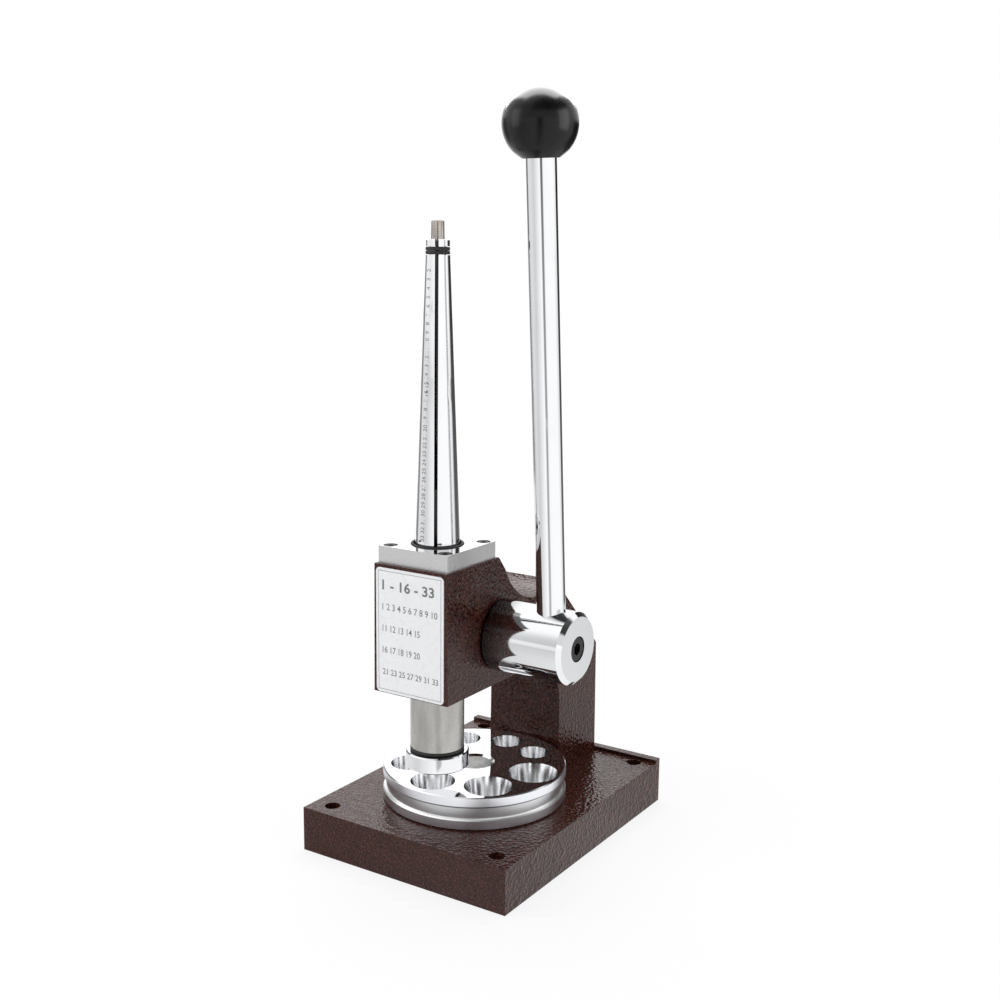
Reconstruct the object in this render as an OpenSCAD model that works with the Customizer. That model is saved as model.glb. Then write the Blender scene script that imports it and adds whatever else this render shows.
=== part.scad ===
// Bench ring stretcher: a lever press with a split mandrel above and a round die plate below.
// X runs across the machine with the lever on the +X side, the front looks towards -Y, Z is up.
// The origin is the centre of the four bench holes, on the underside of the base plate.

/* [Base plate] */
// Width of the base plate
base_w = 132; // [126:1:160]
// Depth of the base plate
base_d = 171; // [168:1:190]
// Thickness of the base plate
base_t = 24.8; // [20:0.2:32]
// Height of the low rib on the rear edge
rib_h = 2; // [1:0.5:4]
// Depth of the low rib
rib_d = 5; // [3:0.5:6]
// Distance from a bench hole to the side edge
bench_side = 12; // [9:0.5:14]
// Distance from a bench hole to the front or rear edge
bench_end = 10.5; // [9:0.5:13]
// Diameter of a bench hole
bench_hole_d = 8.4; // [6.4:0.1:10.5]

/* [Frame] */
// Width of the casting at the top of the head
frame_w = 46; // [45:0.5:50]
// How far each side of the casting stands out further at the foot
side_flare = 1.2; // [0.2:0.1:2]
// Height of the open throat above the base plate
throat_h = 72.7; // [70:0.1:80]
// Height of the square head
head_h = 69; // [68:0.5:76]
// Depth of the flat top of the head
head_d = 47.8; // [46:0.1:49]
// Distance from the ram's axis to the front of the head
head_front = 24; // [22.5:0.5:26]
// Distance from the ram's axis to the centre of the bench holes
ram_reach = 51.6; // [50:0.1:54]
// Radius in the inner corner of the throat
throat_r = 30; // [16:1:32]
// Radius of the scooped back of the arm
scoop_r = 36.5; // [34:0.5:40]
// Depth of the scoop below the top of the head
scoop_dip = 29.6; // [26:0.1:31]
// Diameter of the bolts that hold the casting to the base
frame_bolt_d = 8; // [6:1:10]

/* [Label plate] */
// Width of the plate on the front of the head
label_w = 43; // [36:1:44]
// Height of the plate
label_h = 66.8; // [50:0.1:67]
// Thickness of the plate
label_t = 0.6; // [0.4:0.1:1.2]
// Radius of its corners
label_r = 2.4; // [0.6:0.1:6]

/* [Die plate] */
// Diameter of the die plate
die_d = 102.6; // [98:0.1:103]
// Thickness of the die plate
die_t = 18.3; // [16:0.1:20]
// Radius of the circle that the die holes lie on, as a share of the plate's diameter
die_pitch_share = 0.351; // [0.345:0.001:0.355]
// Diameter of the widest die hole at the top, as a share of the plate's diameter
die_hole_share = 0.271; // [0.24:0.001:0.273]
// Height of the upper rim above the groove
rim_h = 5.1; // [4:0.1:6]
// Height of the groove round the edge
groove_h = 7.4; // [5:0.1:8]
// Depth of the groove, as a share of the plate's diameter
groove_share = 0.0156; // [0.01:0.0001:0.017]
// Diameter of the pin that the plate turns on
pivot_d = 16; // [12:1:18]

/* [Gear] */
// Size of the teeth, as pitch diameter over tooth count
gear_module = 1.5; // [1.25:0.25:1.5]
// Number of teeth on the pinion
pinion_teeth = 18; // [17:1:19]
// Slope of the tooth sides in degrees
pressure_angle = 20; // [18:0.5:22]
// Distance from the ram's axis to the pitch line of the rack
rack_set = 11.1; // [10.5:0.1:11.5]

/* [Ram] */
// Diameter of the ram
ram_d = 28.8; // [28:0.1:29]
// Diameter of the shoe under the ram
shoe_d = 34; // [30:0.5:36]
// Height of the shoe
shoe_h = 8.8; // [8:0.1:12]
// Space between the shoe and the die plate at rest
press_gap = 10.8; // [10.8:0.1:13]

/* [Mandrel] */
// Side of the square plate on the head
plate_w = 43.6; // [42:0.1:44]
// Thickness of the square plate
plate_t = 9; // [7:0.5:12]
// Diameter of the mandrel at its foot
mandrel_foot_d = 23.4; // [23:0.1:25]
// Diameter of the mandrel at the top of the taper
mandrel_tip_d = 12.4; // [12:0.1:14]
// Length of the taper
mandrel_len = 147.6; // [130:0.1:170]
// Width of the slots between the leaves
slot_w = 1.8; // [1.4:0.1:2.2]
// Turn of the first slot from the front towards the lever, in degrees
mandrel_turn = 31; // [0:1:89]
// Diameter of the dull tip of the draw rod
rod_tip_d = 6.9; // [6.4:0.1:7]
// How far the tip stands above the leaves
rod_tip_h = 9.2; // [6:0.1:12]
// Growth of the draw rod's radius per millimetre along its wedges
wedge_slope = 0.035; // [0.03:0.001:0.036]

/* [Lever] */
// Height of the lever shaft above the underside of the head
shaft_rise = 26.8; // [26:0.1:30]
// Diameter of the lever shaft in its bushes
shaft_d = 16; // [14:0.5:17]
// Diameter of the hub
hub_d = 38.4; // [36:0.1:40]
// Length of the hub
hub_len = 47.4; // [46:0.1:56]
// Distance from the outer end of the hub to the middle of the lever rod
lever_inset = 15.6; // [14.5:0.1:17]
// Diameter of the lever rod
lever_d = 15.2; // [13:0.1:16]
// Distance from the shaft to the centre of the ball
lever_len = 261.2; // [200:0.1:320]
// Forward lean of the lever at rest in degrees
lever_lean = 4.25; // [0:0.05:10]
// Diameter of the ball knob
ball_d = 36.8; // [32:0.1:42]

/* [Hidden] */
$fn = 96;

// Fits: fixed pieces, running pieces, and pieces that pass each other without touching
seat_gap = 0.02;
running_gap = 0.05;
free_gap = 0.3;
// How far a cut runs past the face that it opens
overrun = 1;

// Colours
paint = [0.24, 0.13, 0.12];
chrome = [0.80, 0.81, 0.83];
steel = [0.62, 0.62, 0.60];
dark_steel = [0.20, 0.20, 0.21];
bronze = [0.72, 0.52, 0.26];
rubber = [0.06, 0.06, 0.06];
white_plate = [0.93, 0.93, 0.94];

// Distances between the bench holes
bench_x = base_w - 2 * bench_side;
bench_y = base_d - 2 * bench_end;

// Main heights
arm_z = base_t + throat_h;
head_top = arm_z + head_h;
plate_top = head_top + plate_t;
die_z = base_t + free_gap;
die_top = die_z + die_t;
shoe_z = die_top + press_gap;
shoe_top = shoe_z + shoe_h;
shaft_z = arm_z + shaft_rise;

// Gear sizes
pitch_r = gear_module * pinion_teeth / 2;
tooth_pitch = PI * gear_module;
dedendum_share = 1.25;
dedendum = dedendum_share * gear_module;
tip_r = pitch_r + gear_module;
root_r = pitch_r - dedendum;
gear_base_r = pitch_r * cos(pressure_angle);
flank_gap_share = 0.08;
flank_gap = flank_gap_share * gear_module;
flank_steps = 5;
mesh_reach = sqrt(pow(tip_r, 2) - pow(pitch_r - gear_module, 2));

// Die plate: the hole circle, the widest hole and the groove
die_pitch_r = die_d * die_pitch_share;
die_hole_d = die_d * die_hole_share;
groove_deep = die_d * groove_share;

// Main places from front to back
ram_y = -ram_reach;
head_front_y = ram_y - head_front;
head_rear_y = head_front_y + head_d;
pinion_y = ram_y + rack_set + pitch_r;
pivot_y = ram_y + die_pitch_r;
column_gap = 0.9;
column_front_y = pivot_y + die_d / 2 + column_gap;
rib_gap = 0.4;
rib_front_y = base_d / 2 - rib_d;
column_rear_y = rib_front_y - rib_gap;

// Back of the arm: a sloped edge, the scoop, the crest and a slope at 45 degrees
scoop_back = 39;
scoop_y = pinion_y + scoop_back;
scoop_z = head_top - scoop_dip + scoop_r;
lip_d = 6.4;
lip_y = head_rear_y + lip_d;
lip_z = scoop_z - sqrt(pow(scoop_r, 2) - pow(scoop_y - lip_y, 2));
crest_back = 19.2;
crest_y = scoop_y + crest_back;
crest_z = scoop_z - sqrt(pow(scoop_r, 2) - pow(crest_back, 2));
shoulder_z = crest_z - (column_rear_y - crest_y);

// Bolts between the base and the column
frame_bolt_x = 12;
frame_bolt_y = 10;
column_mid_y = (column_front_y + column_rear_y) / 2;
bolt_head_share = 1.6;
bolt_grip_share = 1.8;
bolt_head_d = bolt_head_share * frame_bolt_d;
bolt_sink = 1.5;
bolt_grip = bolt_grip_share * frame_bolt_d;

// Socket screws: the hexagon's width as a share of the thread, and its depth as a share of the head
hex_width_share = 0.86;
hex_share = 0.5;

// Cross bore, bushes and shaft
bore_room = 1;
cross_bore_r = tip_r + bore_room;
pinion_half = ram_d / 2;
side_gap = 0.4;
bush_in_x = pinion_half + side_gap;
side_x = frame_w / 2;
foot_side_x = side_x + side_flare;
hub_x0 = side_at(shaft_z - hub_d / 2) + side_gap;
hub_x1 = hub_x0 + hub_len;
lever_x = hub_x1 - lever_inset;
hub_edge = 2.2;
hub_screw_d = 8;
hub_screw_head_d = 12.6;
hub_screw_room = 0.5;
hub_screw_sink = 0.4;
hub_screw_x0 = hub_x1 - hub_screw_sink - hub_screw_d;
hub_wall = 9.3;
shaft_x1 = lever_x - hub_wall;
hub_thread = 12;
lever_seat = hub_screw_head_d / 2 + 2 * free_gap;
key_w = 5;
key_inset = 3;
key_x0 = hub_x0 + key_inset;
key_x1 = shaft_x1 - key_inset;
key_in = 3;
key_out = 2.2;
washer_d = 22;
end_x = -side_at(shaft_z - washer_d / 2) - side_gap;
washer_t = 2.4;
end_screw_d = 6;
end_head_d = 10;
end_head_h = 4;
end_thread = 12;

// Ball knob: below the ball a short cone runs down to the flat that faces the lever
ball_drop_share = 0.467;
ball_flat_drop = ball_d * ball_drop_share;
neck_h_share = 0.128;
neck_h = ball_d * neck_h_share;
neck_r = sqrt(pow(ball_d / 2, 2) - pow(ball_flat_drop - neck_h, 2));
flat_share = 0.25;
flat_r = ball_d * flat_share;
knob_grip = 12;

// Ram
ram_up = 14.2;
ram_above = 15.5;
ram_top = shaft_z + ram_above;
ram_bore_roof = 5.4;
ram_bore_top = head_top - ram_bore_roof;
rack_low = shaft_z - ram_up - mesh_reach - overrun;
ram_ring_h = 2.2;
ram_neck_in = 1.6;
ram_neck_d = ram_d - 2 * ram_neck_in;
ring_stand = 0.1;
spigot_d = 16;
spigot_h = 5;
shoe_edge = 0.6;
shoe_screw_d = 6;
shoe_screw_len = 20;
nut_h = 5;
nut_flats = 16;
nut_d = nut_flats / cos(180 / 6);

// Mandrel heights
flange_h = 3.6;
recess_h = flange_h + 2 * free_gap;
taper_top = plate_top + mandrel_len;
band_h = 4.4;
collar_z = taper_top + band_h;
collar_h = 3.4;
leaf_top = collar_z + collar_h;
tip_top = leaf_top + rod_tip_h;
flange_d = 30;
leaf_spread = 0.4;
recess_room = 0.5;
recess_d = flange_d + 2 * (leaf_spread + free_gap + recess_room);
plate_bore_d = mandrel_foot_d + 2 * (leaf_spread + free_gap);
band_d = 8.3;
collar_d = 12.1;
collar_edge = 0.5;
rod_hole_d = 17;

// Draw rod: a low wedge near the foot and a high wedge under the tip
rod_r = 4.8;
rod_depth = 18;
low_wedge_len = 29;
low_wedge_top = plate_top + free_gap + low_wedge_len;
low_wedge_r = rod_r + low_wedge_len * wedge_slope;
low_taper = 6;
high_wedge_len = 28.5;
high_wedge_z = leaf_top - high_wedge_len;
tip_rod_r = rod_tip_d / 2;
core_r = tip_rod_r - high_wedge_len * wedge_slope;
tip_top_share = 0.95;
tip_top_r = tip_rod_r * tip_top_share;
tip_edge = 0.4;

// Bore of the leaves, wider than the rod wherever the rod's steps pass
wedge_contact = 14;
low_contact_z = low_wedge_top - wedge_contact;
low_contact_r = low_wedge_r - wedge_contact * wedge_slope + free_gap;
foot_bore_room = 1.1;
pocket_room = 0.8;
core_bore_room = 0.9;
leaf_foot_bore_r = rod_r + foot_bore_room;
pocket_r = low_wedge_r + pocket_room;
pocket_len = 25;
pocket_top = low_wedge_top + pocket_len;
core_bore_r = core_r + core_bore_room;
high_contact_z = leaf_top - wedge_contact;
high_contact_r = tip_rod_r - wedge_contact * wedge_slope + free_gap;

// Rings
foot_ring_t = 1.6;
foot_ring_sink = 1.3;
foot_ring_stand = 1.2;
foot_ring_r = plate_bore_d / 2;
top_ring_t = 1.4;
top_ring_room = 0.25;
top_ring_in = band_d / 2 + leaf_spread + top_ring_room;
top_ring_h = (band_h - 2 * free_gap) / 2;

// Plate screws
plate_screw_d = 4;
plate_screw_head_d = 7;
plate_screw_edge = 4.5;
plate_screw_at = plate_w / 2 - plate_screw_edge;
plate_screw_sink = 0.3;
plate_screw_len = 16;

// Label
label_low = 0.6;
label_z = arm_z + label_low;

// Die plate: from the widest hole on, the holes as shares of it, and where each one lies
die_hole_shares = [1, 0.957, 0.874, 0.79, 0.735, 0.685, 0.66, 0.635];
die_hole_angles = [7, -44, -95, -142, -185, -226, -267, -304];
die_throat_share = 0.78;
pivot_head_share = 1.2;
pivot_head_d = pivot_head_share * pivot_d;
pivot_head_h = 4;
pivot_sink = 0.9;
pivot_edge = 1.3;
pivot_grip = 14;
pivot_stem_d = 12;
die_edge = 0.6;

// Half the width of the casting at a height
function side_at(z) = side_x + side_flare * (head_top - z) / (head_top - base_t);

// A cylinder along Z on the ram's axis
module ram_cylinder(z0, z1, r) {
  translate([0, ram_y, z0]) cylinder(r = r, h = z1 - z0);
}

// A cylinder along X on the lever shaft's axis
module shaft_cylinder(x0, x1, r) {
  translate([x0, pinion_y, shaft_z]) rotate([0, 90, 0]) cylinder(r = r, h = x1 - x0);
}

// A hexagon along X on the lever shaft's axis
module shaft_hex(x0, x1, d) {
  translate([x0, pinion_y, shaft_z]) rotate([0, 90, 0]) cylinder(d = d, h = x1 - x0, $fn = 6);
}

// An outline drawn in Y and Z, given its width along X
module side_profile(x0, x1) {
  translate([x0, 0, 0]) rotate([90, 0, 90]) linear_extrude(height = x1 - x0) children();
}

// Anything placed along the lever, with Z running up the lever from the shaft's axis
module on_lever() {
  translate([lever_x, pinion_y, shaft_z]) rotate([lever_lean, 0, 0]) children();
}

// A socket screw with its head at z 0, as high as the thread is wide, and its shank running down
module socket_screw(d, head_d, shank) {
  difference() {
    union() {
      cylinder(d = head_d, h = d);
      translate([0, 0, -shank]) cylinder(d = d, h = shank + d / 2);
    }
    translate([0, 0, d * (1 - hex_share)]) cylinder(d = d * hex_width_share, h = d, $fn = 6);
  }
}

// A round band of rubber with rounded top and bottom edges
module rubber_band(r_in, thick, z0, z1) {
  rotate_extrude() {
    translate([r_in, z0 + thick / 2]) square([thick, z1 - z0 - thick]);
    translate([r_in + thick / 2, z0 + thick / 2]) circle(d = thick, $fn = 32);
    translate([r_in + thick / 2, z1 - thick / 2]) circle(d = thick, $fn = 32);
  }
}

// The four corners of a rectangle
module at_corners(x, y) {
  for (sx = [-1, 1], sy = [-1, 1])
    translate([sx * x, sy * y, 0]) children();
}

module base_plate() {
  color(paint) difference() {
    union() {
      translate([-base_w / 2, -base_d / 2, 0]) cube([base_w, base_d, base_t]);
      translate([-base_w / 2, rib_front_y, 0]) cube([base_w, rib_d, base_t + rib_h]);
    }
    at_corners(bench_x / 2, bench_y / 2)
      translate([0, 0, -overrun]) cylinder(d = bench_hole_d, h = base_t + rib_h + 2 * overrun);
    translate([0, pivot_y, base_t - pivot_grip])
      cylinder(d = pivot_stem_d + 2 * seat_gap, h = pivot_grip + overrun);
    translate([0, column_mid_y, -overrun]) at_corners(frame_bolt_x, frame_bolt_y) {
      cylinder(d = frame_bolt_d + 2 * free_gap, h = base_t + 2 * overrun);
      cylinder(d = bolt_head_d + 2 * free_gap, h = overrun + bolt_sink + frame_bolt_d);
    }
  }
}

module frame_casting() {
  throat_y = column_front_y - throat_r;
  throat_z = arm_z - throat_r;
  color(paint) difference() {
    intersection() {
      side_profile(-foot_side_x, foot_side_x) difference() {
        polygon([
          [head_front_y, arm_z], [head_front_y, head_top], [head_rear_y, head_top], [lip_y, lip_z],
          [crest_y, crest_z], [column_rear_y, shoulder_z], [column_rear_y, base_t],
          [column_front_y, base_t], [column_front_y, throat_z], [throat_y, throat_z], [throat_y, arm_z]
        ]);
        translate([scoop_y, scoop_z]) circle(r = scoop_r);
        translate([throat_y, throat_z]) circle(r = throat_r);
      }
      translate([0, base_d / 2, 0]) rotate([90, 0, 0]) linear_extrude(height = base_d) polygon([
        [-foot_side_x, base_t], [foot_side_x, base_t], [side_x, head_top], [-side_x, head_top]
      ]);
    }
    ram_cylinder(arm_z - overrun, ram_bore_top, ram_d / 2 + running_gap);
    ram_cylinder(arm_z, head_top + overrun, rod_hole_d / 2);
    shaft_cylinder(-foot_side_x - overrun, foot_side_x + overrun, cross_bore_r);
    translate([0, ram_y, plate_top - plate_screw_len - overrun])
      at_corners(plate_screw_at, plate_screw_at)
        cylinder(d = plate_screw_d + 2 * seat_gap, h = plate_screw_len);
    translate([0, column_mid_y, base_t - overrun]) at_corners(frame_bolt_x, frame_bolt_y)
      cylinder(d = frame_bolt_d + 2 * seat_gap, h = bolt_grip + 2 * overrun);
  }
}

module frame_bolts() {
  color(dark_steel) translate([0, column_mid_y, bolt_sink + frame_bolt_d])
    at_corners(frame_bolt_x, frame_bolt_y) rotate([180, 0, 0])
      socket_screw(frame_bolt_d, bolt_head_d, base_t + bolt_grip - bolt_sink - frame_bolt_d);
}

module label_plate() {
  color(white_plate) translate([0, head_front_y, label_z + label_h / 2]) rotate([90, 0, 0])
    linear_extrude(height = label_t) {
      square([label_w - 2 * label_r, label_h], center = true);
      square([label_w, label_h - 2 * label_r], center = true);
      at_corners(label_w / 2 - label_r, label_h / 2 - label_r) circle(r = label_r);
    }
}

module mandrel_plate() {
  color(steel) difference() {
    translate([-plate_w / 2, ram_y - plate_w / 2, head_top]) cube([plate_w, plate_w, plate_t]);
    ram_cylinder(head_top - overrun, plate_top + overrun, plate_bore_d / 2);
    ram_cylinder(head_top - overrun, head_top + recess_h, recess_d / 2);
    ram_cylinder(plate_top - foot_ring_sink, plate_top + overrun, foot_ring_r + foot_ring_t + seat_gap);
    translate([0, ram_y, plate_top]) at_corners(plate_screw_at, plate_screw_at) {
      translate([0, 0, -plate_t - overrun])
        cylinder(d = plate_screw_d + free_gap, h = plate_t + 2 * overrun);
      translate([0, 0, -plate_screw_d - plate_screw_sink])
        cylinder(d = plate_screw_head_d + 2 * free_gap, h = plate_t);
    }
  }
}

module plate_screws() {
  color(dark_steel) translate([0, ram_y, plate_top - plate_screw_sink - plate_screw_d])
    at_corners(plate_screw_at, plate_screw_at)
      socket_screw(plate_screw_d, plate_screw_head_d, plate_screw_len - plate_screw_sink - plate_screw_d);
}

module foot_ring() {
  color(rubber) translate([0, ram_y, 0])
    rubber_band(foot_ring_r, foot_ring_t, plate_top - foot_ring_sink + seat_gap,
      plate_top + foot_ring_stand);
}

module top_rings() {
  color(rubber) translate([0, ram_y, taper_top + free_gap]) for (k = [0, 1])
    rubber_band(top_ring_in, top_ring_t, k * top_ring_h + seat_gap, (k + 1) * top_ring_h - seat_gap);
}

// A plain bush in one side of the cross bore
module bush(x0, x1) {
  color(bronze) difference() {
    shaft_cylinder(x0, x1, cross_bore_r - seat_gap);
    shaft_cylinder(x0 - overrun, x1 + overrun, shaft_d / 2 + running_gap);
  }
}

module bush_right() {
  bush(bush_in_x, side_x);
}

module bush_left() {
  bush(-side_x, -bush_in_x);
}

module die_pivot() {
  color(steel) translate([0, pivot_y, 0]) {
    translate([0, 0, base_t - pivot_grip + free_gap])
      cylinder(d = pivot_stem_d, h = pivot_grip);
    translate([0, 0, base_t])
      cylinder(d = pivot_d, h = die_top - pivot_sink - pivot_head_h - base_t + overrun);
    translate([0, 0, die_top - pivot_sink - pivot_head_h])
      cylinder(d = pivot_head_d, h = pivot_head_h);
  }
}

// Half of the die plate's section, with its two rims and the groove between them
module die_outline() {
  rim_r = die_d / 2;
  groove_r = rim_r - groove_deep;
  groove_top = die_top - rim_h;
  groove_low = groove_top - groove_h;
  polygon([
    [0, die_z], [rim_r - die_edge, die_z], [rim_r, die_z + die_edge],
    [rim_r, groove_low - die_edge], [rim_r - die_edge, groove_low], [groove_r, groove_low],
    [groove_r, groove_top], [rim_r, groove_top],
    [rim_r, die_top - die_edge], [rim_r - die_edge, die_top], [0, die_top]
  ]);
}

module die_plate() {
  color(chrome) translate([0, pivot_y, 0]) difference() {
    rotate_extrude() die_outline();
    translate([0, 0, die_z - overrun]) cylinder(d = pivot_d + 2 * running_gap, h = die_t + overrun);
    translate([0, 0, die_top - pivot_sink - pivot_head_h - free_gap])
      cylinder(d = pivot_head_d + 2 * free_gap, h = pivot_head_h + pivot_sink + overrun);
    translate([0, 0, die_top - pivot_edge])
      cylinder(d1 = pivot_head_d + 2 * free_gap, d2 = pivot_head_d + 2 * free_gap + 2 * pivot_edge,
        h = pivot_edge + seat_gap);
    for (k = [0 : len(die_hole_shares) - 1]) {
      top_d = die_hole_d * die_hole_shares[k];
      rotate([0, 0, die_hole_angles[k]]) translate([die_pitch_r, 0, die_z - seat_gap])
        cylinder(d1 = top_d * die_throat_share, d2 = top_d, h = die_t + 2 * seat_gap);
    }
  }
}

// The space between two rack teeth, open towards the pinion
module rack_space() {
  half_at_pitch = tooth_pitch / 4 + flank_gap;
  open_y = gear_module + ram_d / 2;
  polygon([
    [-dedendum, -half_at_pitch + dedendum * tan(pressure_angle)],
    [open_y, -half_at_pitch - open_y * tan(pressure_angle)],
    [open_y, half_at_pitch + open_y * tan(pressure_angle)],
    [-dedendum, half_at_pitch - dedendum * tan(pressure_angle)]
  ]);
}

module ram() {
  rack_count = floor((ram_top - rack_low) / tooth_pitch) + 1;
  first_space = floor((rack_low - shaft_z) / tooth_pitch) + 1;
  color(steel) difference() {
    union() {
      ram_cylinder(shoe_top + ram_ring_h, ram_top, ram_d / 2);
      ram_cylinder(shoe_top, shoe_top + ram_ring_h + overrun, ram_neck_d / 2);
      ram_cylinder(shoe_top - spigot_h + free_gap, shoe_top + overrun, spigot_d / 2);
    }
    translate([-ram_d / 2, ram_y + rack_set + gear_module, rack_low])
      cube([ram_d, ram_d, ram_top - rack_low + overrun]);
    side_profile(-ram_d / 2 - overrun, ram_d / 2 + overrun)
      for (k = [0 : rack_count - 1])
        translate([ram_y + rack_set, shaft_z + (first_space + k + 0.5) * tooth_pitch])
          rack_space();
    ram_cylinder(ram_top - rod_depth, ram_top + overrun, rod_r + seat_gap);
    ram_cylinder(shoe_z, shoe_z + shoe_screw_len + overrun, shoe_screw_d / 2 + seat_gap);
  }
}

module rod_nut() {
  color(dark_steel) difference() {
    translate([0, ram_y, ram_top]) cylinder(d = nut_d, h = nut_h, $fn = 6);
    ram_cylinder(ram_top - overrun, ram_top + nut_h + overrun, rod_r + seat_gap);
  }
}

module ram_ring() {
  color(rubber) translate([0, ram_y, 0])
    rubber_band(ram_neck_d / 2 + seat_gap, (ram_d - ram_neck_d) / 2 + ring_stand,
      shoe_top + seat_gap, shoe_top + ram_ring_h - seat_gap);
}

module press_shoe() {
  color(chrome) difference() {
    translate([0, ram_y, 0]) rotate_extrude() polygon([
      [0, shoe_z], [shoe_d / 2 - shoe_edge, shoe_z], [shoe_d / 2, shoe_z + shoe_edge],
      [shoe_d / 2, shoe_top - shoe_edge], [shoe_d / 2 - shoe_edge, shoe_top], [0, shoe_top]
    ]);
    ram_cylinder(shoe_top - spigot_h, shoe_top + overrun, spigot_d / 2 + seat_gap);
    ram_cylinder(shoe_z - overrun, shoe_top, shoe_screw_d / 2 + seat_gap);
    translate([0, ram_y, shoe_z + seat_gap - overrun])
      cylinder(d1 = 2 * shoe_screw_d + 2 * overrun + 4 * seat_gap, d2 = shoe_screw_d + 4 * seat_gap,
        h = shoe_screw_d / 2 + overrun);
  }
}

module shoe_screw() {
  color(dark_steel) difference() {
    union() {
      translate([0, ram_y, shoe_z + seat_gap])
        cylinder(d1 = 2 * shoe_screw_d, d2 = shoe_screw_d, h = shoe_screw_d / 2);
      ram_cylinder(shoe_z + seat_gap, shoe_z + shoe_screw_len, shoe_screw_d / 2);
    }
    translate([0, ram_y, shoe_z])
      cylinder(d = shoe_screw_d * hex_width_share, h = shoe_screw_d / 2 * hex_share, $fn = 6);
  }
}

module draw_rod() {
  color(steel) translate([0, ram_y, 0]) rotate_extrude() polygon([
    [0, ram_top - rod_depth + seat_gap], [rod_r, ram_top - rod_depth + seat_gap],
    [rod_r, plate_top + free_gap], [low_wedge_r, low_wedge_top],
    [core_r, low_wedge_top + low_taper], [core_r, high_wedge_z],
    [tip_rod_r, leaf_top], [tip_top_r, tip_top - tip_edge],
    [tip_top_r - tip_edge, tip_top], [0, tip_top]
  ]);
}

// Half of a leaf's section: foot flange, taper, ring band and collar outside, wedge seats inside
module leaf_outline() {
  foot_z = head_top + free_gap;
  polygon([
    [leaf_foot_bore_r, foot_z], [flange_d / 2, foot_z], [flange_d / 2, foot_z + flange_h],
    [mandrel_foot_d / 2, foot_z + flange_h], [mandrel_foot_d / 2, plate_top],
    [mandrel_tip_d / 2, taper_top], [band_d / 2, taper_top], [band_d / 2, collar_z],
    [collar_d / 2, collar_z], [collar_d / 2, leaf_top - collar_edge],
    [collar_d / 2 - collar_edge, leaf_top], [tip_rod_r + free_gap, leaf_top],
    [high_contact_r, high_contact_z], [core_bore_r, high_contact_z], [core_bore_r, pocket_top],
    [pocket_r, pocket_top - low_taper / 2], [pocket_r, low_wedge_top],
    [low_wedge_r + free_gap, low_wedge_top], [low_contact_r, low_contact_z],
    [leaf_foot_bore_r, low_contact_z]
  ]);
}

// One quarter of the mandrel, cut back from both slots; quarter 0 starts at the first slot
module mandrel_leaf(quarter) {
  color(chrome) translate([0, ram_y, 0]) rotate([0, 0, mandrel_turn - 90 + 90 * quarter])
    intersection() {
      rotate_extrude() leaf_outline();
      translate([slot_w / 2, slot_w / 2, head_top]) cube([flange_d, flange_d, tip_top - head_top]);
    }
}

module mandrel_leaf_right() {
  mandrel_leaf(0);
}

module mandrel_leaf_back() {
  mandrel_leaf(1);
}

module mandrel_leaf_left() {
  mandrel_leaf(2);
}

module mandrel_leaf_front() {
  mandrel_leaf(3);
}

// Involute of an angle, in degrees
function involute(a) = tan(a) * 180 / PI - a;

// Radius of step k along a tooth side, from the root to the tip
function flank_r(k) = k == 0 ? root_r : gear_base_r + (tip_r - gear_base_r) * (k - 1) / (flank_steps - 1);

// Half of a tooth's angle at that step
function half_tooth(k) =
  90 / pinion_teeth - flank_gap / pitch_r * 180 / PI + involute(pressure_angle)
  - (k < 2 ? 0 : involute(acos(gear_base_r / flank_r(k))));

function polar(r, a) = [r * cos(a), r * sin(a)];

// The pinion's outline, with a space and not a tooth facing the rack
module pinion_outline() {
  step = 360 / pinion_teeth;
  first = 180 + step / 2;
  polygon([
    for (t = [0 : pinion_teeth - 1], k = [0 : 2 * flank_steps + 1])
      k <= flank_steps
        ? polar(flank_r(k), first + t * step - half_tooth(k))
        : polar(flank_r(2 * flank_steps + 1 - k), first + t * step + half_tooth(2 * flank_steps + 1 - k))
  ]);
}

module pinion_shaft() {
  color(steel) difference() {
    union() {
      shaft_cylinder(end_x, shaft_x1, shaft_d / 2);
      translate([0, pinion_y, shaft_z]) side_profile(-pinion_half, pinion_half) pinion_outline();
    }
    shaft_cylinder(shaft_x1 - hub_thread, shaft_x1 + overrun, hub_screw_d / 2 + seat_gap);
    shaft_cylinder(end_x - overrun, end_x + end_thread, end_screw_d / 2 + seat_gap);
    translate([key_x0 - seat_gap, pinion_y - key_w / 2 - seat_gap, shaft_z - shaft_d])
      cube([key_x1 - key_x0 + 2 * seat_gap, key_w + 2 * seat_gap, shaft_d / 2 + key_in + seat_gap]);
  }
}

module hub_key() {
  color(steel) translate([key_x0, pinion_y - key_w / 2, shaft_z - shaft_d / 2 - key_out])
    cube([key_x1 - key_x0, key_w, key_in + key_out]);
}

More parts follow.
